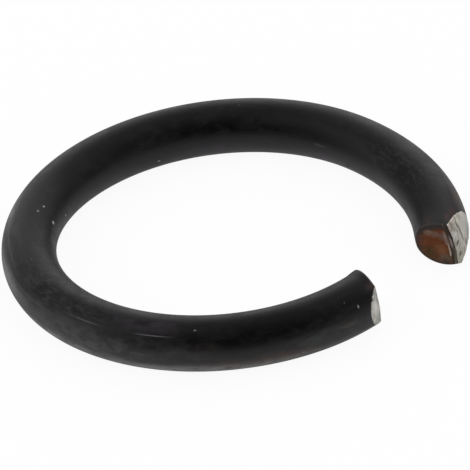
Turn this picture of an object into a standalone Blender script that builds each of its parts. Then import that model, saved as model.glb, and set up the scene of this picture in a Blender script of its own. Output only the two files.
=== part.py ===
"""A sprung retaining ring: one length of round steel wire, coiled to less than a full turn.

The ring lies flat, with its axis on Z and its lowest side at z = 0. The gap between its ends faces +X.
Seen from above, the wire runs anticlockwise from the far end, along a leg that has sprung open and
round the coil, to the near end. Each end has the two faces that wire cutters leave: a sheared face
nearly square to the wire, with a rim that the blade rolled over, and outside it a long slanting face
where the wire broke away.
"""

from math import ceil, cos, degrees, pi, radians, sin, tan

import bmesh
import bpy
from mathutils import Matrix, Vector

# The wire and its bends, in metres and degrees. Angles are read round Z from +X
WIRE_DIAMETER = 0.0020
BORE_DIAMETER = 0.0124
NEAR_END_ANGLE = -15.0
LEG_START_ANGLE = 74.6
LEG_BEND_RADIUS = 0.0096
LEG_BEND_ANGLE = 48.0

# The cuts. A face turns towards the outside of the ring and leans over downwards, in degrees
# A slanting face crosses the end at its offset outside the wire's centreline
NEAR_SHEAR_TURN = 16.0
NEAR_SHEAR_LEAN = -8.0
NEAR_BREAK_OFFSET = 0.00053
NEAR_BREAK_TURN = 66.0
NEAR_BREAK_LEAN = -1.0
FAR_SHEAR_TURN = -20.6
FAR_SHEAR_LEAN = 9.4
FAR_BREAK_OFFSET = 0.00054
FAR_BREAK_TURN = 70.8
FAR_BREAK_LEAN = -11.8
ROLLED_RIM = 0.00012

# How finely the wire is drawn
SECTION_SIDES = 24
BEND_STEP = 3.0
RIM_SEGMENTS = 3

# What a cutter reaches past the wire, and how near two points are when they count as one
CUTTING_MARGIN = 0.0002
WELD_DISTANCE = 0.000001

FULL_TURN = 360.0
WIRE_RADIUS = WIRE_DIAMETER / 2
COIL_RADIUS = (BORE_DIAMETER + WIRE_DIAMETER) / 2
UP = Vector((0.0, 0.0, 1.0))


class Bend:
    """A level arc of the wire's centreline, with its centre at x, y and its angles read from +X."""

    def __init__(self, x, y, radius):
        self.centre = Vector((x, y, WIRE_RADIUS))
        self.radius = radius

    def outward(self, angle):
        return Vector((cos(radians(angle)), sin(radians(angle)), 0.0))

    def point(self, angle):
        return self.centre + self.outward(angle) * self.radius

    def points(self, first, last):
        steps = max(1, ceil(abs(last - first) / BEND_STEP))
        return [self.point(first + (last - first) * i / steps) for i in range(steps + 1)]


class CutFace:
    """A flat face across the wire: a point on it, its normal, and its level direction towards the gap."""

    def __init__(self, point, heading, outward, turn, lean):
        level_normal = heading * cos(radians(turn)) + outward * sin(radians(turn))
        self.point = point
        self.normal = level_normal * cos(radians(lean)) - UP * sin(radians(lean))
        self.along = heading * sin(radians(turn)) - outward * cos(radians(turn))
        self.upright = self.normal.cross(self.along)

    def holds(self, face):
        """Whether a face of a mesh lies on this one."""
        height = (face.calc_center_median() - self.point).dot(self.normal)
        return face.normal.dot(self.normal) > cos(radians(1)) and abs(height) < 10 * WELD_DISTANCE


class WireEnd:
    """An end of the wire on its bend. Its way is 1 where the wire reaches it anticlockwise, or else -1."""

    def __init__(self, name, bend, angle, way, shear, slanting):
        outward = bend.outward(angle)
        heading = UP.cross(outward) * way
        offset, turn, lean = slanting
        self.name = name
        self.bend = bend
        self.angle = angle
        self.way = way
        self.shear = CutFace(bend.point(angle), heading, outward, *shear)
        self.slanting = CutFace(bend.point(angle) + outward * offset, heading, outward, turn, lean)
        self.shear_reach = WIRE_RADIUS * sum(tan(radians(abs(tilt))) for tilt in shear)
        self.slanting_reach = WIRE_RADIUS / cos(radians(turn))

    def angle_past(self, distance):
        """The angle at a distance along the bend past this end, or short of it if that is negative."""
        return self.angle + self.way * degrees(distance / self.bend.radius)

    def angle_before_rim(self):
        return self.angle_past(-self.shear_reach - ROLLED_RIM - CUTTING_MARGIN)

    def angle_of_stock(self):
        return self.angle_past(self.shear_reach + CUTTING_MARGIN)


def make_collection(name):
    collection = bpy.data.collections.new(name)
    bpy.context.scene.collection.children.link(collection)
    return collection


def make_bends():
    """The coil, and the wider bend of the leg, which touches the coil's circle where the leg starts."""
    coil = Bend(0.0, 0.0, COIL_RADIUS)
    shift = coil.outward(LEG_START_ANGLE) * (COIL_RADIUS - LEG_BEND_RADIUS)
    return coil, Bend(shift.x, shift.y, LEG_BEND_RADIUS)


def make_ends(coil, leg):
    near_shear = (NEAR_SHEAR_TURN, NEAR_SHEAR_LEAN)
    near_slanting = (NEAR_BREAK_OFFSET, NEAR_BREAK_TURN, NEAR_BREAK_LEAN)
    near = WireEnd("near", coil, FULL_TURN + NEAR_END_ANGLE, 1, near_shear, near_slanting)
    far_shear = (FAR_SHEAR_TURN, FAR_SHEAR_LEAN)
    far_slanting = (FAR_BREAK_OFFSET, FAR_BREAK_TURN, FAR_BREAK_LEAN)
    far = WireEnd("far", leg, LEG_START_ANGLE - LEG_BEND_ANGLE, -1, far_shear, far_slanting)
    return near, far


def centreline(coil, leg, near, far):
    """Points along the wire with stock to cut off. Each cut crosses one straight step, to keep its rim clean."""
    points = [leg.point(far.angle_of_stock())]
    points += leg.points(far.angle_before_rim(), LEG_START_ANGLE)
    points += coil.points(LEG_START_ANGLE, near.angle_before_rim())[1:]
    points.append(coil.point(near.angle_of_stock()))
    return points


def draw_wire(name, points, collection):
    """The uncut wire. A flat of its section lies below and one above, as far apart as the wire is thick."""
    curve = bpy.data.curves.new(name, "CURVE")
    curve.dimensions = "3D"
    curve.bevel_depth = WIRE_RADIUS / cos(pi / SECTION_SIDES)
    curve.bevel_resolution = SECTION_SIDES // 2 - 2
    curve.use_fill_caps = True
    spline = curve.splines.new("POLY")
    spline.points.add(len(points) - 1)
    for knot, point in zip(spline.points, points):
        knot.co = (*point, 1.0)
        knot.tilt = pi / SECTION_SIDES
    path = bpy.data.objects.new("wire_path", curve)
    collection.objects.link(path)
    wire = bpy.data.objects.new(name, evaluated_mesh(path))
    wire.matrix_world = path.matrix_world
    collection.objects.link(wire)
    bpy.data.objects.remove(path, do_unlink=True)
    weld(wire.data)
    return wire


def evaluated_mesh(item):
    bpy.context.view_layer.update()
    evaluated = item.evaluated_get(bpy.context.evaluated_depsgraph_get())
    return bpy.data.meshes.new_from_object(evaluated)


def weld(mesh):
    shape = bmesh.new()
    shape.from_mesh(mesh)
    bmesh.ops.remove_doubles(shape, verts=shape.verts, dist=WELD_DISTANCE)
    shape.to_mesh(mesh)
    shape.free()


def add_cutter(name, face, depth, back, ahead, collection):
    """A block that stands on a cut face and takes off what lies beyond it, from back to ahead of its point."""
    shape = bmesh.new()
    bmesh.ops.create_cube(shape, size=1.0)
    height = 2 * (WIRE_DIAMETER + CUTTING_MARGIN)
    bmesh.ops.scale(shape, vec=(depth, back + ahead, height), verts=shape.verts)
    mesh = bpy.data.meshes.new(name)
    shape.to_mesh(mesh)
    shape.free()
    cutter = bpy.data.objects.new(name, mesh)
    centre = face.point + face.normal * depth / 2 + face.along * (ahead - back) / 2
    turned = Matrix((face.normal, face.along, face.upright)).transposed()
    cutter.matrix_world = Matrix.Translation(centre) @ turned.to_4x4()
    cutter.hide_render = True
    cutter.display_type = "WIRE"
    collection.objects.link(cutter)
    return cutter


def subtract(wire, cutter):
    modifier = wire.modifiers.new(cutter.name, "BOOLEAN")
    modifier.operation = "DIFFERENCE"
    modifier.solver = "EXACT"
    modifier.object = cutter


def cut_end(wire, end, collection):
    """Shears the stock off, then takes the slanting face off the outer side."""
    half_width = WIRE_DIAMETER + CUTTING_MARGIN
    stock = 2 * (end.shear_reach + CUTTING_MARGIN)
    subtract(wire, add_cutter(f"{end.name}_shear", end.shear, stock, half_width, half_width, collection))
    back = end.slanting_reach + CUTTING_MARGIN
    ahead = end.shear_reach + CUTTING_MARGIN
    subtract(wire, add_cutter(f"{end.name}_break", end.slanting, WIRE_DIAMETER, back, ahead, collection))


def apply_modifiers(wire):
    mesh = evaluated_mesh(wire)
    wire.modifiers.clear()
    wire.data = mesh


def roll_rim(wire, end):
    """Rounds the rim of the sheared face, where the blade pressed the wire's skin over before it cut."""
    shape = bmesh.new()
    shape.from_mesh(wire.data)
    shape.normal_update()
    rim = []
    for edge in shape.edges:
        sheared = [face for face in edge.link_faces if end.shear.holds(face)]
        broken = [face for face in edge.link_faces if end.slanting.holds(face)]
        if len(sheared) == 1 and not broken:
            rim.append(edge)
    bmesh.ops.bevel(
        shape,
        geom=rim,
        offset=ROLLED_RIM,
        offset_type="OFFSET",
        segments=RIM_SEGMENTS,
        profile=0.5,
        affect="EDGES",
        clamp_overlap=True,
    )
    shape.to_mesh(wire.data)
    shape.free()


def blackened_steel():
    material = bpy.data.materials.new("blackened_steel")
    material.use_nodes = True
    shader = material.node_tree.nodes["Principled BSDF"]
    shader.inputs["Base Color"].default_value = (0.025, 0.025, 0.028, 1.0)
    shader.inputs["Metallic"].default_value = 1.0
    shader.inputs["Roughness"].default_value = 0.4
    return material


def main():
    for item in list(bpy.data.objects):
        bpy.data.objects.remove(item, do_unlink=True)
    parts = make_collection("retaining_ring")
    cutters = make_collection("cutters")
    coil, leg = make_bends()
    ends = make_ends(coil, leg)
    wire = draw_wire("retaining_ring", centreline(coil, leg, *ends), parts)
    for end in ends:
        cut_end(wire, end, cutters)
    apply_modifiers(wire)
    for end in ends:
        roll_rim(wire, end)
    wire.data.materials.clear()
    wire.data.materials.append(blackened_steel())
    wire.data.shade_smooth()
    wire.data.set_sharp_from_angle(angle=radians(30))


main()
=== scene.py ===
# A retaining ring of round steel wire, blackened, sprung open and cut at both ends, on a plain white floor.
# Places along and across the wire are in millimetres and angles in degrees. The meshes are in metres.

import math

import bpy
import numpy as np
from mathutils import Matrix, Vector


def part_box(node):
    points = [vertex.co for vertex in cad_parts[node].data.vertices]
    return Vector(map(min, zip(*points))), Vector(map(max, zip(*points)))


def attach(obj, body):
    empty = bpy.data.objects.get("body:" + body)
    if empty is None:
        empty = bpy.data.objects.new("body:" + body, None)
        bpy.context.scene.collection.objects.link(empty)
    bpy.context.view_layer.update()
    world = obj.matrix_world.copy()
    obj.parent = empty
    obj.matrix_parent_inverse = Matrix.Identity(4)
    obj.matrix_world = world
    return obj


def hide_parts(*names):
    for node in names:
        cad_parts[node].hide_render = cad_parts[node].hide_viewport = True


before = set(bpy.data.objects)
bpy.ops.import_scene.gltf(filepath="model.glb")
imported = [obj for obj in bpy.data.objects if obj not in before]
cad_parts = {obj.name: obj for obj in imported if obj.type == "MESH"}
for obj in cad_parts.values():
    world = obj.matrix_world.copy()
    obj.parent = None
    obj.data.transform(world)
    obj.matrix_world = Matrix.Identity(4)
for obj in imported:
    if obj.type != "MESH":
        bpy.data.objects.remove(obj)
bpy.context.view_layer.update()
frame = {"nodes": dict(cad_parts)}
mm = 0.001
print("frame loaded:", ", ".join(frame["nodes"]))


# The wire and its two cuts

lowest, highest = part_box("retaining_ring")
thickness = (highest.z - lowest.z) / mm

wire = {
    "radius": thickness / 2 + 0.010,  # with the skin
    "coilRadius": ((highest.y - lowest.y) / mm - thickness) / 2,  # of the wire's middle, as the leg's is
    "legRadius": 9.6,
    "legStart": 74.6,  # where the leg leaves the coil, read round Z from +X
    "legTurn": 48.0,
    "nearEnd": 345.0,
    "around": 240,
    "along": 290,
    "crowding": 0.72,  # how much closer the rows stand at the ends than in the middle
    "rimRings": 7,
    "faceRings": 44,
    "waver": 0.004,  # how far the drawn wire is from truly round
    "waverLength": 3.0,
    "waverStretch": 4.0,
    "waverSeed": 5,
    "ridgeWidth": 0.010,  # rounding between an end's two faces
    "sharpAngle": 42.0,  # between faces that are shaded apart
}

# Each end has a sheared and a broken face, given by how far they turn towards the outside of the ring and
# lean over downwards. The broken face crosses the section at its offset, bowed and twisted a little, and its
# bare steel starts at x = a + b y + c y2. The rest are how far the rim is rolled over, and heights of relief
farCut = {
    "shear": (-20.6, 9.4),
    "break": (70.7, -11.5),
    "offset": 0.55,
    "bow": -0.05,
    "twist": -0.5,
    "bareFrom": (0.465, -0.122, -0.098),
    "roll": 0.035,
    "rollAtTop": 0.025,
    "rollInside": 0.080,
    "hackle": 0.024,
    "groove": 0.035,
    "burr": 0.022,
    "sag": 0.0,
    "seed": 3,
}
nearCut = {
    "shear": (16.0, -8.0),
    "break": (66.0, -1.0),
    "offset": 0.55,
    "bow": -0.05,
    "twist": 0.0,
    "bareFrom": (0.625, 0.073, -0.05),
    "roll": 0.045,
    "rollAtTop": 0.040,
    "rollInside": 0.040,
    "hackle": 0.012,
    "groove": 0.0,
    "burr": 0.0,
    "sag": 0.052,
    "seed": 11,
}

# the relief of both ends. Places across the ridge are measured past the line where bare steel starts
torn = {
    "coarse": (0.14, 0.8),  # lengths of the ripples, across the ridge and along it
    "fine": (0.05, 0.45),
    "fineShare": 0.5,
    "rippleFrom": (0.0, 0.12),  # where they begin, and where they are whole
    "groove": (-0.09, 0.055),  # place and width
    "grooveFoot": (-0.95, -0.70),  # heights between which it comes in
    "burr": (-0.233, 0.030),
    "burrFoot": (-0.75, -0.5),
    "burrTop": (0.75, 0.5),
    "sagOver": (-0.95, -0.15),  # heights between which an end sags back
    "sagShare": 0.6,  # how much of that is below the end's own surface
}

# how the rolled rim changes round the wire
rolledRim = {
    "insideFrom": (-0.45, -0.95),  # from here to here across the section it widens on the ring's inside
    "insideFoot": (-0.75, -0.15),  # and from here to here in height
    "brokenFrom": (-0.12, 0.04),  # and here, past the line where bare steel starts, it gets crisp
    "crisp": 0.008,
}

# low forms on the wall, by middle and spread round it. Each begins at its reach from its end of the wire and
# is full a little nearer to it
lip = {"height": 0.030, "middle": 66.0, "spread": 54.0, "reach": 0.46, "full": 0.06}  # near end's inner edge
swell = {"height": 0.032, "middle": 228.0, "spread": 30.0, "reach": 6.0, "full": 1.0}  # outside, near end
press = {"depth": 0.042, "middle": 8.0, "spread": 0.10, "reach": 1.0, "full": 0.1}  # inside, far end

wire["legLength"] = math.radians(wire["legTurn"]) * wire["legRadius"]
coilTurn = math.radians(wire["nearEnd"] - wire["legStart"])
wire["length"] = wire["legLength"] + coilTurn * wire["coilRadius"]


# Smooth step: 3 t2 - 2 t3, with t the share of the way from low to high, kept between 0 and 1
def smoothStep(low, high, value):
    t = np.clip((value - low) / (high - low), 0.0, 1.0)
    return t * t * (3.0 - 2.0 * t)


# A bump of height 1: exp(-(value - middle)2 / width2)
def bump(value, middle, width):
    return np.exp(-(((value - middle) / width) ** 2))


# Smooth uneven numbers, mostly between -1 and 1: the sum of n sine waves that run every way through the
# points, with lengths 0.6 to 1.7 times the given one, divided by the square root of n
def uneven(points, length, seed, waves=28):
    chance = np.random.default_rng(seed)
    ways = chance.normal(size=(waves, points.shape[-1]))
    ways /= np.linalg.norm(ways, axis=1)[:, None]
    counts = 2.0 * np.pi / (length * chance.uniform(0.6, 1.7, waves))
    phases = chance.uniform(0.0, 2.0 * np.pi, waves)
    return np.sin(points @ (ways * counts[:, None]).T + phases).sum(-1) / np.sqrt(waves)


# Two circles that touch, seen from above: the leg's first, then the coil's. A point s along the wire lies at
# centre + (bend radius + x) (cos a, sin a), with a growing by s / bend radius, and y above the wire's middle
def placeOnWire(s, x, y):
    onLeg = s < wire["legLength"]
    turnStart = math.radians(wire["legStart"])
    legAngle = turnStart - math.radians(wire["legTurn"]) + s / wire["legRadius"]
    coilAngle = turnStart + (s - wire["legLength"]) / wire["coilRadius"]
    angle = np.where(onLeg, legAngle, coilAngle)
    reach = np.where(onLeg, wire["legRadius"], wire["coilRadius"]) + x
    shift = np.where(onLeg, wire["coilRadius"] - wire["legRadius"], 0.0)
    acrossX = shift * math.cos(turnStart) + reach * np.cos(angle)
    acrossY = shift * math.sin(turnStart) + reach * np.sin(angle)
    return np.stack([acrossX, acrossY, wire["radius"] + y], -1)


# How far along the bent wire a flat cut stands at x, y of the section. With R the bend's radius and
# a = s / R, the cut is where ahead (R + x) sin a + out (R + x) cos a + up y = out (R + offset)
def flatCut(x, y, offset, tilt, bendRadius):
    turn, lean = math.radians(tilt[0]), math.radians(tilt[1])
    ahead, out, up = math.cos(turn) * math.cos(lean), math.sin(turn) * math.cos(lean), -math.sin(lean)
    sine = ((bendRadius + offset) * out - y * up) / ((bendRadius + x) * math.hypot(ahead, out))
    return bendRadius * (np.arcsin(np.minimum(sine, 1.0)) - math.atan2(out, ahead))


# How far a place in the section lies past the line where bare steel starts: x - (a + b y + c y2)
def pastLine(x, y, cut):
    start, slope, bend = cut["bareFrom"]
    return x - start - slope * y - bend * y * y


# An end's surface: the soft minimum of its two faces, sheared - w log(1 + exp((sheared - broken) / w)). The
# broken one is bowed by bow y2 and twisted by twist (x - offset) y. Ripples that follow the ridge mark it, a
# groove and a burr lie along the ridge, and the lowest part sags back
def endSurface(x, y, cut, bendRadius):
    sheared = flatCut(x, y, 0.0, cut["shear"], bendRadius)
    broken = flatCut(x, y, cut["offset"] + cut["bow"] * y * y, cut["break"], bendRadius)
    broken = broken + cut["twist"] * (x - cut["offset"]) * y
    width = wire["ridgeWidth"]
    surface = sheared - width * np.logaddexp(0.0, (sheared - broken) / width)
    past = pastLine(x, y, cut)
    coarse, fine = torn["coarse"], torn["fine"]
    ripple = uneven(np.stack([past / coarse[0], y / coarse[1]], -1), 1.0, cut["seed"])
    ripple += torn["fineShare"] * uneven(np.stack([past / fine[0], y / fine[1]], -1), 1.0, cut["seed"] + 1)
    ripple = cut["hackle"] * ripple * smoothStep(*torn["rippleFrom"], past)
    groove = cut["groove"] * bump(past, *torn["groove"]) * smoothStep(*torn["grooveFoot"], y)
    midway = smoothStep(*torn["burrFoot"], y) * smoothStep(*torn["burrTop"], y)
    burr = cut["burr"] * bump(past, *torn["burr"]) * midway
    sag = cut["sag"] * (smoothStep(*torn["sagOver"], y) - torn["sagShare"])
    return surface + ripple - groove + burr + sag


# Round the wire's rim an end turns into the wall by a quarter circle. It is wider on the sheared face, most
# of all inside the ring, and hair-thin on the broken one
def rimRadius(theta, cut):
    x, y = -wire["radius"] * np.cos(theta), wire["radius"] * np.sin(theta)
    roll = cut["roll"] + (cut["rollAtTop"] - cut["roll"]) * np.clip(y, 0.0, 1.0) ** 2
    inside = smoothStep(*rolledRim["insideFrom"], x) * smoothStep(*rolledRim["insideFoot"], y)
    roll = roll + (cut["rollInside"] - roll) * inside
    crispness = smoothStep(*rolledRim["brokenFrom"], pastLine(x, y, cut))
    return roll + (rolledRim["crisp"] - roll) * crispness


# A low form raised on the wall: its height times a smooth step along the wire times a bump round it
def raisedBy(form, fromEnd, theta):
    rise = smoothStep(form["reach"], form["full"], fromEnd)
    rise = rise * bump(theta, math.radians(form["middle"]), math.radians(form["spread"]))
    return form["height"] * rise


# The wall's distance from the wire's middle: the radius, a slow waver from drawing, the lip and the swell,
# less the press, whose bump round the wire is one of cos(theta - middle) about 1
def wallRadius(s, theta):
    theta = np.broadcast_to(theta, s.shape)
    slow = np.stack([np.cos(theta), np.sin(theta), s / wire["waverStretch"]], -1)
    waver = wire["waver"] * uneven(slow, wire["waverLength"], wire["waverSeed"])
    fromNear = wire["length"] - s
    raised = raisedBy(lip, fromNear, theta) + raisedBy(swell, fromNear, theta)
    pressed = smoothStep(press["reach"], press["full"], s)
    pressed = pressed * bump(np.cos(theta - math.radians(press["middle"])), 1.0, press["spread"])
    return wire["radius"] + waver + raised - press["depth"] * pressed


# Rings of one end, from its middle out to the rim. On the flat they are evenly spaced, and round the rim they
# follow the quarter circle: inset = r (1 - cos b), and the drop behind the face is r (1 - sin b)
def endRings(theta, cut, bendRadius, wallEnd):
    quarter = np.linspace(np.pi / 2, 0.0, wire["rimRings"] + 1)[:, None]
    rim = rimRadius(theta, cut)[None, :]
    inset = rim * (1.0 - np.cos(quarter))
    drop = rim * (1.0 - np.sin(quarter))
    share = np.linspace(0.0, 1.0, wire["faceRings"] + 1)[1:-1, None]
    reach = np.concatenate([share * (wallEnd - rim), wallEnd - inset])
    x, y = -reach * np.cos(theta), reach * np.sin(theta)
    s = endSurface(x, y, cut, bendRadius)
    s[-len(drop):] -= drop
    return x, y, s


# The wall between the rims. Row by row s goes from one rim to the other by t = q - c sin(2 pi q) / 2 pi,
# with q evenly spaced, so that the rows crowd at the ends
def wallRows(theta, first, last):
    q = np.linspace(0.0, 1.0, wire["along"])[1:-1, None]
    t = q - wire["crowding"] * np.sin(2.0 * np.pi * q) / (2.0 * np.pi)
    s = first + (last - first) * t
    reach = wallRadius(s, theta)
    return -reach * np.cos(theta), reach * np.sin(theta), s


# What the finish follows: how far past the line where bare steel starts a place lies, how far in from the
# rim, and whether it is on a face
def finishPlace(x, y, cut, onFace):
    inset = wire["radius"] - np.hypot(x, y)
    return np.stack([pastLine(x, y, cut), inset, np.broadcast_to(onFace, x.shape).astype(float)], -1)


# The ring as one closed surface: rows of points round the wire at x = -r cos theta, y = r sin theta, from the
# middle of the far end over its rim, along the wall and over the near rim to the middle of the near end
def buildRing():
    theta = np.linspace(0.0, 2.0 * np.pi, wire["around"], endpoint=False)  # 0 inside, 90 top, 180 outside
    rimX, rimY = -np.cos(theta), np.sin(theta)
    farRim = -endSurface(rimX, rimY, farCut, wire["legRadius"])
    nearRim = wire["length"] + endSurface(rimX, rimY, nearCut, wire["coilRadius"])
    farX, farY, farS = endRings(theta, farCut, wire["legRadius"], wallRadius(farRim, theta))
    nearX, nearY, nearS = endRings(theta, nearCut, wire["coilRadius"], wallRadius(nearRim, theta))
    farS, nearS = -farS, wire["length"] + nearS
    wallX, wallY, wallS = wallRows(theta, farS[-1], nearS[-1])
    x = np.concatenate([farX, wallX, nearX[::-1]])
    y = np.concatenate([farY, wallY, nearY[::-1]])
    s = np.concatenate([farS, wallS, nearS[::-1]])
    rows = len(s)
    onFace = np.ones((rows, 1))
    onFace[len(farS):rows - len(nearS)] = 0.0
    atFarEnd = np.arange(rows)[:, None, None] < rows / 2
    farPlaces = finishPlace(x, y, farCut, onFace)
    nearPlaces = finishPlace(x, y, nearCut, onFace)
    places = np.where(atFarEnd, farPlaces, nearPlaces)
    # the two poles, at the middle of each end
    middle = np.zeros(1)
    poleS = [-endSurface(middle, middle, farCut, wire["legRadius"])[0]]
    poleS.append(wire["length"] + endSurface(middle, middle, nearCut, wire["coilRadius"])[0])
    polePlaces = [finishPlace(middle, middle, cut, 1.0) for cut in (farCut, nearCut)]
    poles = np.stack([np.zeros(2), np.zeros(2), poleS], -1)
    straight = np.concatenate([np.stack([x, y, s], -1).reshape(-1, 3), poles])
    places = np.concatenate([places.reshape(-1, 3), *polePlaces])
    points = placeOnWire(straight[:, 2], straight[:, 0], straight[:, 1]) * mm
    # faces: a quad between neighbours of two rows, and a fan at each end's middle
    cell = np.arange(rows * wire["around"]).reshape(rows, wire["around"])
    beside = np.roll(cell, -1, axis=1)
    quads = np.stack([cell[:-1], beside[:-1], beside[1:], cell[1:]], -1).reshape(-1, 4)
    farPole = np.full(wire["around"], rows * wire["around"])
    farFan = np.stack([farPole, beside[0], cell[0]], -1)
    nearFan = np.stack([cell[-1], beside[-1], farPole + 1], -1)
    mesh = bpy.data.meshes.new("retaining_ring_wire")
    mesh.from_pydata(points.tolist(), [], quads.tolist() + farFan.tolist() + nearFan.tolist())
    straightened = mesh.attributes.new("straightened", "FLOAT_VECTOR", "POINT")
    straightened.data.foreach_set("vector", straight.astype(np.float32).ravel())
    onEnd = mesh.attributes.new("onEnd", "FLOAT_VECTOR", "POINT")
    onEnd.data.foreach_set("vector", places.astype(np.float32).ravel())
    mesh.shade_smooth()
    mesh.set_sharp_from_angle(angle=math.radians(wire["sharpAngle"]))
    ring = bpy.data.objects.new("retaining_ring_wire", mesh)
    bpy.context.scene.collection.objects.link(ring)
    return ring


# The finish of the wire

look = {
    "deepBlack": (0.0010, 0.0009, 0.0011, 1.0),
    "warmBlack": (0.0082, 0.0060, 0.0054, 1.0),
    "coolBlack": (0.0058, 0.0060, 0.0090, 1.0),
    "dust": (0.031, 0.030, 0.031, 1.0),
    # painted sheen: lighter grey where the coil's bend catches the light
    "sheenGrey": (0.050, 0.049, 0.049, 1.0),
    "scuffGrey": (0.14, 0.138, 0.135, 1.0),
    "chipGrey": (0.42, 0.40, 0.385, 1.0),
    "pitBlack": (0.004, 0.004, 0.004, 1.0),
    "dragged": (0.052, 0.041, 0.038, 1.0),
    # painted highlight along the top of a sheared face's rolled rim
    "rimHighlightColour": (0.050, 0.046, 0.045, 1.0),
    "burnish": (0.158, 0.049, 0.017, 1.0),
    "speckDark": (0.060, 0.030, 0.016, 1.0),
    "speckPale": (0.260, 0.150, 0.100, 1.0),
    "tornBrown": (0.250, 0.180, 0.150, 1.0),
    "grooveDark": (0.044, 0.034, 0.024, 1.0),
    "groovePale": (0.290, 0.235, 0.215, 1.0),
    "grooveFoot": (0.155, 0.134, 0.100, 1.0),
    "steel": (0.72, 0.70, 0.63, 1.0),
    "brightSteel": (0.86, 0.85, 0.81, 1.0),
    "dullSteel": (0.30, 0.28, 0.225, 1.0),
    "markSteel": (0.10, 0.092, 0.070, 1.0),
    "crack": (0.16, 0.15, 0.11, 1.0),
    "fringe": (0.12, 0.108, 0.085, 1.0),
    "steelRough": 0.42,
    "endDepth": 8.0,  # how far along the wire a mark of an end reaches, so that it holds for the whole end
    "bothEnds": 1000.0,  # so far that it holds for both
    "toneWhole": 0.1,  # the share of its size that a tone of the bare steel stays whole
    "faceMarkWhole": 0.2,  # and a mark in it
    "wanderScale": 3.0,  # how the burnished tones' edges wander
    "wanderDetail": 3.0,
    "wanderReach": 0.4,
    "ridgeStray": 0.06,  # how far the edges of the torn strips wander
    "crackStray": 0.05,
    "dragStray": 0.5,
    "streakDepth": 0.0035,  # heights of the relief
    "dentDepth": 0.0060,
    "hackleDepth": 0.018,
    "bladeDepth": 0.0030,
}

# noise patterns: scale, stretch along x, y and s, detail, roughness and warp
patterns = {
    "streaks": (7.0, (1.0, 1.0, 0.05), 4.0, 0.60, 0.0),  # from drawing the wire
    "mottle": (2.6, (1.0, 1.0, 0.55), 6.0, 0.68, 0.5),  # patches where the black is rubbed
    "warmth": (1.1, (1.0, 1.0, 0.60), 3.0, 0.60, 0.6),
    "grain": (6.5, (1.0, 1.0, 0.35), 5.0, 0.70, 0.0),
    "dents": (4.5, (1.0, 1.0, 0.70), 5.0, 0.65, 0.0),
    "blade": (14.0, (1.0, 0.12, 1.0), 4.0, 0.60, 0.0),  # what the blade left on the sheared faces
    "ragged": (4.0, (1.0, 1.0, 1.0), 4.0, 0.60, 0.0),
    "lines": (14.0, (1.0, 0.13, 1.0), 5.0, 0.65, 0.4),  # along the ridge of the broken faces
    "specks": (11.0, (0.6, 1.0, 1.0), 4.0, 0.70, 0.5),
}

# how a value fades: from its first number to its second, the share goes from 0 to 1, or from the third number
# to the fourth
fades = {
    "coolBlack": (0.40, 0.60),
    "rubbed": (0.42, 0.70),
    "dusty": (0.40, 0.72),
    "sheenShare": (0.34, 0.66, 0.25, 1.35),
    "tintAndHighlight": (0.30, 0.60),
    "scuffed": (0.35, 0.60),
    "skinRough": (0.30, 0.70, 0.43, 0.55),
    "bladeRough": (0.30, 0.70, 0.36, 0.48),
    "darkSpecks": (0.50, 0.32, 0.0, 0.55),
    "paleSpecks": (0.52, 0.72, 0.0, 0.35),
    "dragTop": (0.10, 0.95, 0.05, 0.36),
    "dragFoot": (-0.40, -0.95, 0.0, 0.03),
    "dragInside": (-0.50, -0.90, 0.0, 0.06),
    "dragEdge": (-0.14, 0.15, 1.0, 0.0),
    # where the painted rim highlight lies: close to the rim, at the top, broken up
    "rimHighlightInset": (0.025, 0.065, 1.0, 0.0),
    "rimHighlightTop": (0.50, 0.85),
    "rimHighlightRagged": (0.30, 0.55, 0.0, 0.7),
    "brownTop": (0.72, 0.52),
    "brownFoot": (-0.05, 0.12),
    "brownLines": (0.35, 0.58, 0.35, 1.0),
    "paleTop": (0.55, 0.22),
    "paleFoot": (-0.20, 0.0),
    "paleLines": (0.50, 0.75, 0.0, 0.6),
    "footTop": (0.0, -0.18),
    "footPast": (-0.150, -0.095),
    "footLines": (0.34, 0.56, 0.45, 1.0),
    "sliverTop": (0.72, 0.60),
    "sliverMiddle": (0.18, -0.05, 0.06, 0.75),
    "sliverFoot": (-0.56, -0.44),
    "sliverRagged": (0.30, 0.50, 0.6, 1.0),
    "bare": (-0.006, 0.012),
    "dullLines": (0.53, 0.34),
    "dullPast": (0.20, 0.42, 1.0, 0.35),
    "crackTop": (0.74, 0.60),
    "crackFoot": (-0.26, -0.02, 0.0, 0.85),
    "atFarEnd": (10.0, 20.0, 1.0, 0.0),
    "atNearEnd": (30.0, 35.0),
    "fringeInset": (0.0, 0.015, 0.3, 0.0),
    "fringePast": (0.10, 0.18),
}

# strips along the ridge: how far behind the line where bare steel starts, or past it with a minus, how much
# further back for each mm of height, and how far to either side each stays whole and reaches
ridgeStrips = {
    "groove": (0.090, 0.0, 0.075, 0.130),
    "pale": (0.105, 0.04, 0.015, 0.060),
    "sliver": (0.233, 0.0, 0.008, 0.044),
    "brown": (0.300, -0.12, 0.020, 0.100),
    "crack": (-0.258, 0.095, 0.004, 0.030),
}
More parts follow.
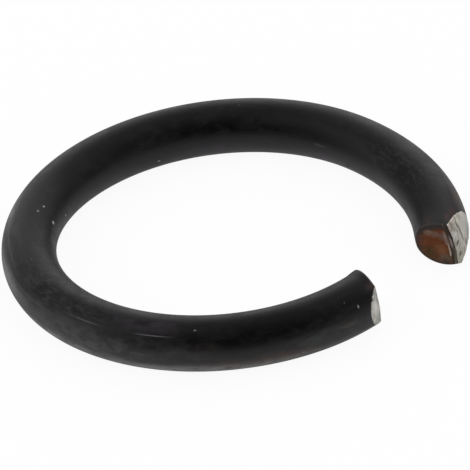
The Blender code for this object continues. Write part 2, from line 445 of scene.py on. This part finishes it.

# tones of the burnished faces, three of them a painted highlight: x, y in the section, how far the tone
# spreads, its share and its colour
burnishAndHighlightTones = [
    (-0.05, -0.25, 0.42, 0.90, (0.230, 0.093, 0.045, 1.0)),
    (-0.47, -0.44, 0.42, 0.95, (0.078, 0.050, 0.019, 1.0)),
    (-0.02, -0.62, 0.34, 0.85, (0.190, 0.124, 0.080, 1.0)),
    # these three, paler and pinkish near the top, are a painted highlight where the face's upper part catches
    # the light
    (-0.52, 0.52, 0.30, 0.95, (0.250, 0.172, 0.140, 1.0)),
    (-0.24, 0.44, 0.26, 0.80, (0.205, 0.140, 0.116, 1.0)),
    (0.02, 0.38, 0.26, 0.80, (0.185, 0.125, 0.104, 1.0)),
    (-0.92, 0.12, 0.38, 0.92, (0.090, 0.054, 0.056, 1.0)),
    (-0.86, -0.28, 0.30, 0.85, (0.084, 0.048, 0.044, 1.0)),
    (-0.34, -0.82, 0.30, 0.90, (0.080, 0.056, 0.038, 1.0)),
    (0.02, -0.84, 0.30, 0.90, (0.110, 0.080, 0.062, 1.0)),
    (0.22, -0.66, 0.26, 0.80, (0.125, 0.092, 0.068, 1.0)),
    (0.24, -0.90, 0.30, 0.95, (0.095, 0.068, 0.052, 1.0)),
]

# tones of the bare steel at both ends: x, y in the section, s along the wire, spreads, share and colour
steelTones = [
    (0.38, 0.72, 0.0, 0.20, 0.30, 1.00, (0.640, 0.530, 0.450, 1.0)),
    (0.58, -0.50, 0.0, 0.34, 0.62, 0.85, (0.500, 0.470, 0.385, 1.0)),
    (0.84, 0.58, 0.0, 0.16, 0.30, 0.85, (0.840, 0.770, 0.710, 1.0)),
    (0.90, 0.12, 0.0, 0.16, 0.45, 0.75, (0.710, 0.712, 0.680, 1.0)),
    (0.60, 0.64, 0.0, 0.07, 0.14, 0.90, (0.930, 0.890, 0.730, 1.0)),
    (0.72, 0.62, 42.0, 0.45, 0.44, 1.00, (0.560, 0.545, 0.530, 1.0)),
    (0.74, -0.52, 42.0, 0.40, 0.40, 0.85, (0.500, 0.500, 0.460, 1.0)),
]

# marks in the bare steel: x, y in the section, s along the wire, half sizes and strength
dullMarks = [
    (0.562, 0.000, 0.0, 0.070, 0.110, 1.00), (0.622, -0.410, 0.0, 0.066, 0.105, 0.85),
    (0.500, -0.250, 0.0, 0.028, 0.130, 0.50), (0.385, 0.640, 0.0, 0.050, 0.110, 0.42),
    (0.468, 0.540, 0.0, 0.026, 0.150, 0.32), (0.579, 0.170, 0.0, 0.026, 0.130, 0.34),
    (0.855, -0.330, 0.0, 0.045, 0.170, 0.60), (0.610, -0.170, 0.0, 0.026, 0.120, 0.35),
    (0.545, -0.600, 0.0, 0.035, 0.120, 0.40), (0.690, -0.480, 0.0, 0.026, 0.130, 0.35),
    (0.660, -0.700, 0.0, 0.035, 0.090, 0.35), (0.780, 0.330, 0.0, 0.020, 0.160, 0.22),
    (0.691, 0.270, 42.0, 0.045, 0.080, 0.50), (0.906, -0.150, 42.0, 0.045, 0.120, 0.50),
    (0.885, 0.475, 42.0, 0.060, 0.055, 1.00), (0.657, -0.600, 42.0, 0.090, 0.200, 0.30),
    (0.662, 0.400, 42.0, 0.040, 0.180, 0.30), (0.590, -0.760, 42.0, 0.080, 0.100, 0.30),
]
brightMarks = [
    (0.525, 0.340, 0.0, 0.030, 0.110, 0.80), (0.735, 0.150, 0.0, 0.034, 0.130, 1.00),
    (0.785, 0.020, 0.0, 0.030, 0.120, 0.80), (0.762, -0.300, 0.0, 0.040, 0.130, 0.90),
    (0.640, 0.060, 0.0, 0.024, 0.140, 0.45), (0.450, 0.330, 0.0, 0.022, 0.120, 0.45),
    (0.800, 0.070, 42.0, 0.100, 0.420, 1.00), (0.900, -0.400, 42.0, 0.110, 0.110, 1.00),
    (0.825, 0.555, 42.0, 0.075, 0.060, 1.00), (0.890, 0.100, 42.0, 0.030, 0.300, 0.50),
]

# marks in the black skin: the share of its size that a mark stays whole, then for each one s along the wire,
# the angle round it from the inside over the top, half width, half length and strength
skinMarks = {
    "chips": (0.25, [
        (23.37, 61.5, 0.056, 0.070, 0.85), (23.79, 70.0, 0.070, 0.090, 0.42),
        (23.90, 29.5, 0.085, 0.135, 0.88), (22.54, 3.0, 0.055, 0.085, 0.62),
        (23.41, 358.5, 0.036, 0.055, 0.40), (16.50, 339.5, 0.050, 0.085, 0.70),
        (35.24, 118.5, 0.050, 0.070, 0.34), (40.83, 148.5, 0.095, 0.045, 0.42),
        (40.44, 129.0, 0.050, 0.035, 0.16), (41.48, 145.0, 0.050, 0.045, 0.90),
        (27.10, 96.0, 0.030, 0.040, 0.25), (12.90, 82.0, 0.030, 0.045, 0.15),
        (3.60, 84.0, 0.030, 0.040, 0.22), (5.40, 118.0, 0.035, 0.050, 0.20),
        (38.70, 205.0, 0.040, 0.060, 0.35),
    ]),
    "scuffs": (0.10, [
        (31.05, 134.3, 0.040, 1.15, 0.60), (33.85, 134.3, 0.035, 0.95, 0.65),
        (9.17, 8.0, 0.080, 0.45, 0.45), (25.20, 132.0, 0.080, 2.30, 0.28),
        (20.80, 100.0, 0.060, 0.90, 0.15), (28.10, 150.0, 0.070, 1.60, 0.20),
    ]),
    "pits": (0.30, [(7.73, 338.0, 0.120, 0.140, 1.0)]),
    # painted sheen on the coil's bend, where it catches the light
    "paintedSheen": (0.0, [
        (30.5, 180.0, 0.98, 7.0, 0.66), (25.0, 128.0, 0.98, 4.5, 0.52), (22.8, 72.0, 0.60, 2.4, 0.24),
        (33.0, 206.0, 0.50, 6.0, 0.95), (23.4, 135.0, 0.44, 1.8, 1.00), (26.3, 160.0, 0.46, 2.6, 1.00),
    ]),
    "soot": (0.0, [
        (1.8, 66.0, 1.10, 7.5, 0.55), (9.5, 30.0, 0.60, 4.5, 0.35), (37.0, 130.0, 0.80, 5.5, 0.32),
        (0.8, 126.0, 0.60, 2.5, 0.70),
    ]),
    "dust": (0.20, [
        (4.5, 62.0, 1.10, 3.6, 0.8), (29.5, 110.0, 1.10, 3.8, 0.8), (39.5, 190.0, 0.70, 3.0, 0.6),
    ]),
}

# tints of the black skin, and one painted highlight: a colour, and its places in the same way
tintsAndHighlight = {
    "brown": ((0.036, 0.018, 0.013, 1.0), [
        (37.5, 205.0, 0.55, 3.5, 1.0), (41.9, 150.0, 0.50, 0.5, 0.7), (41.7, 126.0, 0.30, 0.45, 1.0),
        (40.3, 212.0, 0.22, 0.5, 0.6), (17.0, 36.0, 0.30, 0.8, 0.35), (35.6, 160.0, 0.35, 0.9, 0.35),
    ]),
    "violet": ((0.026, 0.017, 0.027, 1.0), [
        (33.5, 112.0, 0.50, 2.5, 0.8), (40.5, 182.0, 0.24, 1.1, 0.9), (9.0, 335.0, 0.45, 3.5, 1.0),
        (1.0, 24.0, 0.45, 1.6, 0.9), (14.0, 338.0, 0.40, 3.0, 0.8), (19.0, 342.0, 0.40, 2.0, 0.7),
        (4.8, 0.0, 0.40, 2.0, 0.9), (39.0, 78.0, 0.40, 1.5, 0.5), (28.5, 200.0, 0.50, 3.0, 0.6),
    ]),
    "teal": ((0.011, 0.021, 0.023, 1.0), [(39.2, 184.0, 0.28, 0.6, 0.9), (0.5, 78.0, 0.40, 0.8, 0.4)]),
    "rust": ((0.088, 0.030, 0.028, 1.0), [
        (1.9, 137.0, 0.26, 1.8, 1.0), (0.7, 118.0, 0.28, 0.7, 0.9), (0.3, 106.0, 0.24, 0.5, 0.7),
        (0.2, 60.0, 0.50, 0.8, 0.35),
    ]),
    "olive": ((0.085, 0.074, 0.040, 1.0), [(1.6, 150.0, 0.20, 1.4, 1.0), (40.2, 178.0, 0.22, 0.7, 0.25)]),
    # not a tint: painted highlight, lighter grey on the outer side of the coil where it catches the light
    "pale": ((0.150, 0.148, 0.146, 1.0), [
        (35.0, 218.0, 0.44, 7.0, 1.0), (29.8, 204.0, 0.38, 3.2, 0.9), (26.3, 170.0, 0.50, 2.6, 1.0),
        (23.3, 136.0, 0.42, 1.9, 1.0),
    ]),
}


# Adds a shader node. Inputs are given by name as values or as sockets to join to
def addNode(tree, kind, inputs=None, **settings):
    made = tree.nodes.new("ShaderNode" + kind)
    for name, value in settings.items():
        setattr(made, name, value)
    for name, value in (inputs or {}).items():
        if isinstance(value, bpy.types.NodeSocket):
            tree.links.new(value, made.inputs[name])
        else:
            made.inputs[name].default_value = value
    return made


def mathNode(tree, operation, first, second=0.0, clamp=False):
    return addNode(tree, "Math", {0: first, 1: second}, operation=operation, use_clamp=clamp).outputs[0]


# The values joined one after another, by a product or by taking the greatest
def joined(tree, operation, first, *others):
    for other in others:
        first = mathNode(tree, operation, first, other)
    return first


def mixColour(tree, share, first, second):
    return addNode(tree, "Mix", {0: share, 6: first, 7: second}, data_type="RGBA").outputs[2]


def mixNumber(tree, share, first, second):
    return addNode(tree, "Mix", {0: share, 2: first, 3: second}, data_type="FLOAT").outputs[0]


# The smoothed share t of the way from low to high, as start + (end - start) t
def rangeOf(tree, value, low, high, start=0.0, end=1.0):
    inputs = {"Value": value, "From Min": low, "From Max": high, "To Min": start, "To Max": end}
    return addNode(tree, "MapRange", inputs, interpolation_type="SMOOTHSTEP").outputs[0]


def faded(tree, value, name):
    return rangeOf(tree, value, *fades[name])


# One of the noise patterns over the given place, which is first scaled by the pattern's stretch
def noiseAt(tree, place, name):
    scale, stretch, detail, roughness, warp = patterns[name]
    mapped = addNode(tree, "Mapping", {"Vector": place, "Scale": stretch}).outputs[0]
    inputs = {"Vector": mapped, "Scale": scale, "Detail": detail, "Roughness": roughness, "Distortion": warp}
    return addNode(tree, "TexNoise", inputs).outputs[0]


# A value strayed by reach * (noise - 0.5)
def strayedBy(tree, value, noise, reach):
    offset = mathNode(tree, "MULTIPLY", mathNode(tree, "SUBTRACT", noise, 0.5), reach)
    return mathNode(tree, "ADD", value, offset)


# How far a place is from a spot's middle, counted in the spot's own half sizes
def awayFrom(tree, place, middle, sizes):
    away = addNode(tree, "VectorMath", {0: place, 1: middle}, operation="SUBTRACT").outputs[0]
    shares = [1.0 / size for size in sizes]
    scaled = addNode(tree, "VectorMath", {0: away, 1: shares}, operation="MULTIPLY").outputs[0]
    return addNode(tree, "VectorMath", {0: scaled}, operation="LENGTH").outputs["Value"]


# The greatest of soft spots on the wall. Each has its strength over the share of its size that stays whole,
# and fades to 0 at its edge
def spots(tree, place, whole, marks):
    found = []
    for s, angle, width, length, strength in marks:
        theta = math.radians(angle)
        middle = (-wire["radius"] * math.cos(theta), wire["radius"] * math.sin(theta), s)
        away = awayFrom(tree, place, middle, (width, width, length))
        found.append(rangeOf(tree, away, whole, 1.0, strength, 0.0))
    return joined(tree, "MAXIMUM", *found)


# The same for marks on the broken faces, which run through an end's whole depth
def faceSpots(tree, place, marks):
    found = []
    for x, y, s, width, height, strength in marks:
        away = awayFrom(tree, place, (x, y, s), (width, height, look["endDepth"]))
        found.append(rangeOf(tree, away, look["faceMarkWhole"], 1.0, strength, 0.0))
    return joined(tree, "MAXIMUM", *found)


# The black skin: rubbed in mottled patches, with dust, a painted sheen, faint tints and a painted highlight,
# scuffs, chips and pits
def blackSkin(tree, place, streaks, mottle):
    warmth = faded(tree, noiseAt(tree, place, "warmth"), "coolBlack")
    rubbed = mixColour(tree, warmth, look["warmBlack"], look["coolBlack"])
    black = mixColour(tree, faded(tree, mottle, "rubbed"), look["deepBlack"], rubbed)
    grain = faded(tree, noiseAt(tree, place, "grain"), "dusty")
    dusty = joined(tree, "MULTIPLY", spots(tree, place, *skinMarks["dust"]), grain)
    black = mixColour(tree, dusty, black, look["dust"])
    # painted sheen: lighter grey over the bend where it catches the light, broken up by the mottling
    sheenShare = joined(tree, "MULTIPLY", spots(tree, place, *skinMarks["paintedSheen"]), faded(tree, mottle, "sheenShare"))
    black = mixColour(tree, sheenShare, black, look["sheenGrey"])
    # the tints, and last the painted highlight on the outer side
    for colour, places in tintsAndHighlight.values():
        tintAndHighlight = joined(tree, "MULTIPLY", spots(tree, place, 0.0, places), faded(tree, mottle, "tintAndHighlight"))
        black = mixColour(tree, tintAndHighlight, black, colour)
    scuffed = spots(tree, place, *skinMarks["scuffs"])
    scuffed = joined(tree, "MULTIPLY", scuffed, faded(tree, streaks, "scuffed"))
    black = mixColour(tree, scuffed, black, look["scuffGrey"])
    black = mixColour(tree, spots(tree, place, *skinMarks["chips"]), black, look["chipGrey"])
    return mixColour(tree, spots(tree, place, *skinMarks["pits"]), black, look["pitBlack"])


# The sheared face inside its dragged rim: brown where the blade burnished it, in tones with wandering edges,
# paler and pinkish near the top where a highlight is painted
def burnishedFace(tree, place):
    inputs = {"Vector": place, "Scale": look["wanderScale"], "Detail": look["wanderDetail"]}
    wander = addNode(tree, "TexNoise", inputs).outputs["Color"]
    drift = addNode(tree, "VectorMath", {0: wander, 1: (0.5, 0.5, 0.5)}, operation="SUBTRACT").outputs[0]
    inputs = {0: drift, "Scale": look["wanderReach"]}
    drift = addNode(tree, "VectorMath", inputs, operation="SCALE").outputs[0]
    strayed = addNode(tree, "VectorMath", {0: place, 1: drift}, operation="ADD").outputs[0]
    brown = look["burnish"]
    for x, y, size, share, colour in burnishAndHighlightTones:
        away = awayFrom(tree, strayed, (x, y, 0.0), (size, size, look["bothEnds"]))
        brown = mixColour(tree, rangeOf(tree, away, 0.0, 1.0, share, 0.0), brown, colour)
    specks = noiseAt(tree, place, "specks")
    brown = mixColour(tree, faded(tree, specks, "darkSpecks"), brown, look["speckDark"])
    return mixColour(tree, faded(tree, specks, "paleSpecks"), brown, look["speckPale"])


# 1 along a strip that keeps its distance from the line where bare steel starts, and 0 on either side of it
def alongRidge(tree, past, height, name):
    distance, slope, whole, reach = ridgeStrips[name]
    level = mathNode(tree, "ADD", past, mathNode(tree, "MULTIPLY", height, slope))
    away = mathNode(tree, "ABSOLUTE", mathNode(tree, "ADD", level, distance))
    return rangeOf(tree, away, whole, reach, 1.0, 0.0)


# The bare steel: its tones, dull streaks along the ridge, marks, the far end's crack, the near end's fringe
def bareSteel(tree, place, past, height, inset, ragged, lines):
    colour = look["steel"]
    for x, y, s, width, tall, share, tone in steelTones:
        away = awayFrom(tree, place, (x, y, s), (width, tall, look["endDepth"]))
        colour = mixColour(tree, rangeOf(tree, away, look["toneWhole"], 1.0, share, 0.0), colour, tone)
    dull = joined(tree, "MULTIPLY", faded(tree, lines, "dullLines"), faded(tree, past, "dullPast"))
    colour = mixColour(tree, dull, colour, look["dullSteel"])
    colour = mixColour(tree, faceSpots(tree, place, brightMarks), colour, look["brightSteel"])
    colour = mixColour(tree, faceSpots(tree, place, dullMarks), colour, look["markSteel"])
    s = addNode(tree, "SeparateXYZ", {0: place}).outputs["Z"]
    crack = alongRidge(tree, strayedBy(tree, past, ragged, look["crackStray"]), height, "crack")
    upright = [faded(tree, height, "crackTop"), faded(tree, height, "crackFoot")]
    crack = joined(tree, "MULTIPLY", crack, *upright, faded(tree, s, "atFarEnd"))
    colour = mixColour(tree, crack, colour, look["crack"])
    fringe = joined(tree, "MULTIPLY", faded(tree, s, "atNearEnd"), faded(tree, inset, "fringeInset"))
    fringe = joined(tree, "MULTIPLY", fringe, faded(tree, past, "fringePast"))
    return mixColour(tree, fringe, colour, look["fringe"])


# How far in from the rim its dragged skin reaches, most of all at the top
def draggedReach(tree, place, height):
    left = addNode(tree, "SeparateXYZ", {0: place}).outputs["X"]
    reach = mathNode(tree, "ADD", faded(tree, height, "dragTop"), faded(tree, height, "dragFoot"))
    return mathNode(tree, "ADD", reach, faded(tree, left, "dragInside"))


# The torn strip between an end's two faces: brown beside the sliver, then a dark groove with a pale middle
def tornStrip(tree, colour, past, height, lines):
    brown = alongRidge(tree, past, height, "brown")
    upright = [faded(tree, height, "brownTop"), faded(tree, height, "brownFoot")]
    brown = joined(tree, "MULTIPLY", brown, *upright, faded(tree, lines, "brownLines"))
    colour = mixColour(tree, brown, colour, look["tornBrown"])
    pale = joined(tree, "MULTIPLY", faded(tree, height, "paleTop"), faded(tree, height, "paleFoot"))
    pale = joined(tree, "MULTIPLY", pale, alongRidge(tree, past, height, "pale"))
    pale = mathNode(tree, "MAXIMUM", pale, faded(tree, lines, "paleLines"))
    torn = mixColour(tree, pale, look["grooveDark"], look["groovePale"])
    foot = joined(tree, "MULTIPLY", faded(tree, height, "footTop"), faded(tree, past, "footPast"))
    foot = joined(tree, "MULTIPLY", foot, faded(tree, lines, "footLines"))
    torn = mixColour(tree, foot, torn, look["grooveFoot"])
    return mixColour(tree, alongRidge(tree, past, height, "groove"), colour, torn)


# An end's colour from its rim to its broken face, how bright the steel is bared, and where a highlight is
# painted along the top of its rim
def endColours(tree, place, onEnd, height, ragged, lines):
    past, inset = onEnd[0], onEnd[1]
    strayed = strayedBy(tree, past, ragged, look["ridgeStray"])
    reach = strayedBy(tree, draggedReach(tree, place, height), ragged, look["dragStray"])
    dragged = faded(tree, mathNode(tree, "SUBTRACT", inset, reach), "dragEdge")
    colour = mixColour(tree, dragged, burnishedFace(tree, place), look["dragged"])
    # painted highlight: along the top of the rolled rim the colour turns plain and unmetalled, so that the
    # rounded edge reads as catching the light
    rimHighlight = joined(tree, "MULTIPLY", faded(tree, inset, "rimHighlightInset"), faded(tree, height, "rimHighlightTop"))
    rimHighlight = joined(tree, "MULTIPLY", rimHighlight, faded(tree, ragged, "rimHighlightRagged"))
    colour = mixColour(tree, rimHighlight, colour, look["rimHighlightColour"])
    colour = tornStrip(tree, colour, strayed, height, lines)
    upright = [faded(tree, height, name) for name in ("sliverMiddle", "sliverFoot", "sliverTop")]
    sliver = alongRidge(tree, strayed, height, "sliver")
    sliver = joined(tree, "MULTIPLY", sliver, *upright, faded(tree, ragged, "sliverRagged"))
    bright = mathNode(tree, "MAXIMUM", faded(tree, strayed, "bare"), sliver)
    steel = bareSteel(tree, place, past, height, inset, ragged, lines)
    return mixColour(tree, bright, colour, steel), bright, rimHighlight


# The whole finish: the skin on the wall and an end's colours on its faces, each with its roughness and relief
def ringMaterial():
    material = bpy.data.materials.new("blackened_steel_wire")
    material.use_nodes = True
    tree = material.node_tree
    shader = tree.nodes["Principled BSDF"]
    place = addNode(tree, "Attribute", attribute_name="straightened").outputs["Vector"]
    onEnd = addNode(tree, "Attribute", attribute_name="onEnd").outputs["Vector"]
    onEnd = addNode(tree, "SeparateXYZ", {0: onEnd}).outputs
    onFace = onEnd[2]
    height = addNode(tree, "SeparateXYZ", {0: place}).outputs["Y"]
    streaks = noiseAt(tree, place, "streaks")
    mottle = noiseAt(tree, place, "mottle")
    blade = noiseAt(tree, place, "blade")
    ragged = noiseAt(tree, place, "ragged")
    along = addNode(tree, "CombineXYZ", {"X": onEnd[0], "Y": height, "Z": 0.0}).outputs[0]
    lines = noiseAt(tree, along, "lines")

    skin = blackSkin(tree, place, streaks, mottle)
    ends, bright, rimHighlight = endColours(tree, place, onEnd, height, ragged, lines)
    tree.links.new(mixColour(tree, onFace, skin, ends), shader.inputs["Base Color"])
    faceRough = mixNumber(tree, bright, faded(tree, blade, "bladeRough"), look["steelRough"])
    rough = mixNumber(tree, onFace, faded(tree, mottle, "skinRough"), faceRough)
    tree.links.new(rough, shader.inputs["Roughness"])
    # metal on the faces but not under the painted highlight along the top of a rim, and also where pits and
    # soot take the skin's gloss off
    bare = mathNode(tree, "SUBTRACT", onFace, rimHighlight, clamp=True)
    glossless = [spots(tree, place, *skinMarks[name]) for name in ("pits", "soot")]
    tree.links.new(joined(tree, "MAXIMUM", bare, *glossless), shader.inputs["Metallic"])

    hackle = joined(tree, "MULTIPLY", lines, bright, look["hackleDepth"])
    faceRelief = mathNode(tree, "ADD", hackle, mathNode(tree, "MULTIPLY", blade, look["bladeDepth"]))
    skinRelief = mathNode(tree, "MULTIPLY", streaks, look["streakDepth"])
    dents = mathNode(tree, "MULTIPLY", noiseAt(tree, place, "dents"), look["dentDepth"])
    skinRelief = mathNode(tree, "ADD", skinRelief, dents)
    relief = mixNumber(tree, onFace, skinRelief, faceRelief)
    bumped = addNode(tree, "Bump", {"Height": relief, "Strength": 1.0, "Distance": mm})
    tree.links.new(bumped.outputs[0], shader.inputs["Normal"])
    return material


# The floor, light and camera

studio = {
    "floorSize": 2.0,  # in metres, as the softbox's distance and size are
    "floorWhite": 0.95,
    "floorGlow": 0.93,  # how much of what the camera sees is plain white, and the rest keeps the shadow
    "floorInGloss": 0.60,
    "diffuseLevel": 0.95,  # the room's light on matt surfaces
    "dimmest": 0.0,  # the room between its windows
    "boxAzimuth": 312.0,
    "boxElevation": 45.0,
    "boxDistance": 0.40,
    "boxSize": 0.26,
    "boxPower": 0.12,
}

# the room's soft windows, as gloss shows them: azimuth, elevation, level and spread
windows = [
    (92, 9, 0.33, 0.07), (152, 9, 0.21, 0.07), (182, 9, 0.63, 0.07), (212, 9, 1.18, 0.07),
    (242, 9, 0.36, 0.07), (302, 9, 0.95, 0.07), (137, 42, 0.37, 0.10), (197, 42, 0.17, 0.10),
    (257, 42, 0.20, 0.10), (0, 90, 0.28, 0.12),
]


# A way from the object: azimuth 0 is -Y and 90 is +X
def wayTo(azimuth, elevation):
    a, e = math.radians(azimuth), math.radians(elevation)
    return Vector((math.sin(a) * math.cos(e), -math.cos(a) * math.cos(e), math.sin(e)))


# 1 for rays from the camera or off gloss or through glass
def seenRay(tree):
    path = addNode(tree, "LightPath").outputs
    gloss = mathNode(tree, "MAXIMUM", path["Is Glossy Ray"], path["Is Transmission Ray"])
    return mathNode(tree, "MAXIMUM", path["Is Camera Ray"], gloss)


# A level square under the ring, white to the camera and dimmer in gloss. It keeps the ring's shadow
def buildFloor():
    half = studio["floorSize"] / 2
    mesh = bpy.data.meshes.new("floor")
    corners = [(-half, -half, 0.0), (half, -half, 0.0), (half, half, 0.0), (-half, half, 0.0)]
    mesh.from_pydata(corners, [], [(0, 1, 2, 3)])
    floor = bpy.data.objects.new("floor", mesh)
    bpy.context.scene.collection.objects.link(floor)
    floor.location.z = lowest.z
    material = bpy.data.materials.new("white_floor")
    material.use_nodes = True
    tree = material.node_tree
    tree.nodes.clear()
    white = (1.0, 1.0, 1.0, 1.0)
    matt = addNode(tree, "BsdfDiffuse", {"Color": [studio["floorWhite"]] * 3 + [1.0]}).outputs[0]
    glow = addNode(tree, "Emission", {"Color": white})
    level = mixNumber(tree, addNode(tree, "LightPath").outputs["Is Camera Ray"], studio["floorInGloss"], 1.0)
    tree.links.new(level, glow.inputs["Strength"])
    share = mathNode(tree, "MULTIPLY", seenRay(tree), studio["floorGlow"])
    mixed = addNode(tree, "MixShader", {0: share, 1: matt, 2: glow.outputs[0]}).outputs[0]
    addNode(tree, "OutputMaterial", {"Surface": mixed})
    floor.data.materials.append(material)


# The room is white to the camera and even to matt surfaces. Gloss finds its windows, each with the level
# level * exp((way . window's way - 1) / spread), in a dim room
def buildRoom():
    world = bpy.data.worlds.new("studio")
    bpy.context.scene.world = world
    world.use_nodes = True
    tree = world.node_tree
    tree.nodes.clear()
    way = addNode(tree, "TexCoord").outputs["Generated"]
    level = studio["dimmest"]
    for azimuth, elevation, windowLevel, spread in windows:
        inputs = {0: way, 1: wayTo(azimuth, elevation)}
        towards = addNode(tree, "VectorMath", inputs, operation="DOT_PRODUCT").outputs["Value"]
        apart = mathNode(tree, "SUBTRACT", towards, 1.0)
        fading = mathNode(tree, "EXPONENT", mathNode(tree, "DIVIDE", apart, spread))
        level = mathNode(tree, "ADD", mathNode(tree, "MULTIPLY", fading, windowLevel), level)
    path = addNode(tree, "LightPath").outputs
    level = mixNumber(tree, path["Is Diffuse Ray"], level, studio["diffuseLevel"])
    level = mixNumber(tree, path["Is Camera Ray"], level, 1.0)
    back = addNode(tree, "Background", {"Color": (1.0, 1.0, 1.0, 1.0), "Strength": level}).outputs[0]
    addNode(tree, "OutputWorld", {"Surface": back})


# One large soft lamp, turned to face the ring
def buildSoftbox():
    data = bpy.data.lights.new("softbox", "AREA")
    data.shape = "SQUARE"
    data.size = studio["boxSize"]
    data.energy = studio["boxPower"]
    lamp = bpy.data.objects.new("softbox", data)
    way = wayTo(studio["boxAzimuth"], studio["boxElevation"])
    facing = way.to_track_quat("Z", "Y").to_matrix().to_4x4()
    lamp.matrix_world = Matrix.Translation(way * studio["boxDistance"]) @ facing
    bpy.context.scene.collection.objects.link(lamp)


view = {
    "azimuth": 32.12,
    "elevation": 33.03,
    "roll": 6.87,  # the picture leans anticlockwise by this much
    "distance": 306.07,
    "aim": (0.443, -0.031, 1.0),
    "lens": 642.25,
    "sensor": 36.0,
    "nearest": 0.01,  # what the camera draws, in metres
    "farthest": 10.0,
}


# The camera looks along -Z of its own axes, so its Z is the way back to it, and it is rolled about that way
def buildCamera():
    data = bpy.data.cameras.new("camera")
    data.lens = view["lens"]
    data.sensor_width = view["sensor"]
    data.clip_start = view["nearest"]
    data.clip_end = view["farthest"]
    camera = bpy.data.objects.new("camera", data)
    bpy.context.scene.collection.objects.link(camera)
    way = wayTo(view["azimuth"], view["elevation"])
    side = Vector((0.0, 0.0, 1.0)).cross(way).normalized()
    upright = way.cross(side)
    facing = Matrix((side, upright, way)).transposed().to_4x4()
    rolled = Matrix.Rotation(-math.radians(view["roll"]), 4, "Z")
    aim = Vector(view["aim"]) * mm
    camera.matrix_world = Matrix.Translation(aim + way * view["distance"] * mm) @ facing @ rolled
    bpy.context.scene.camera = camera


for item in [o for o in bpy.data.objects if o.type in ("LIGHT", "CAMERA")]:
    bpy.data.objects.remove(item, do_unlink=True)
buildCamera()
print("camera placed")
ringWire = buildRing()
ringWire.data.materials.append(ringMaterial())
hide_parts("retaining_ring")
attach(ringWire, "root")
print("ring built:", len(ringWire.data.polygons), "faces")
buildFloor()
buildRoom()
buildSoftbox()
bpy.context.scene.view_settings.view_transform = "Standard"
print("floor, room and light built")
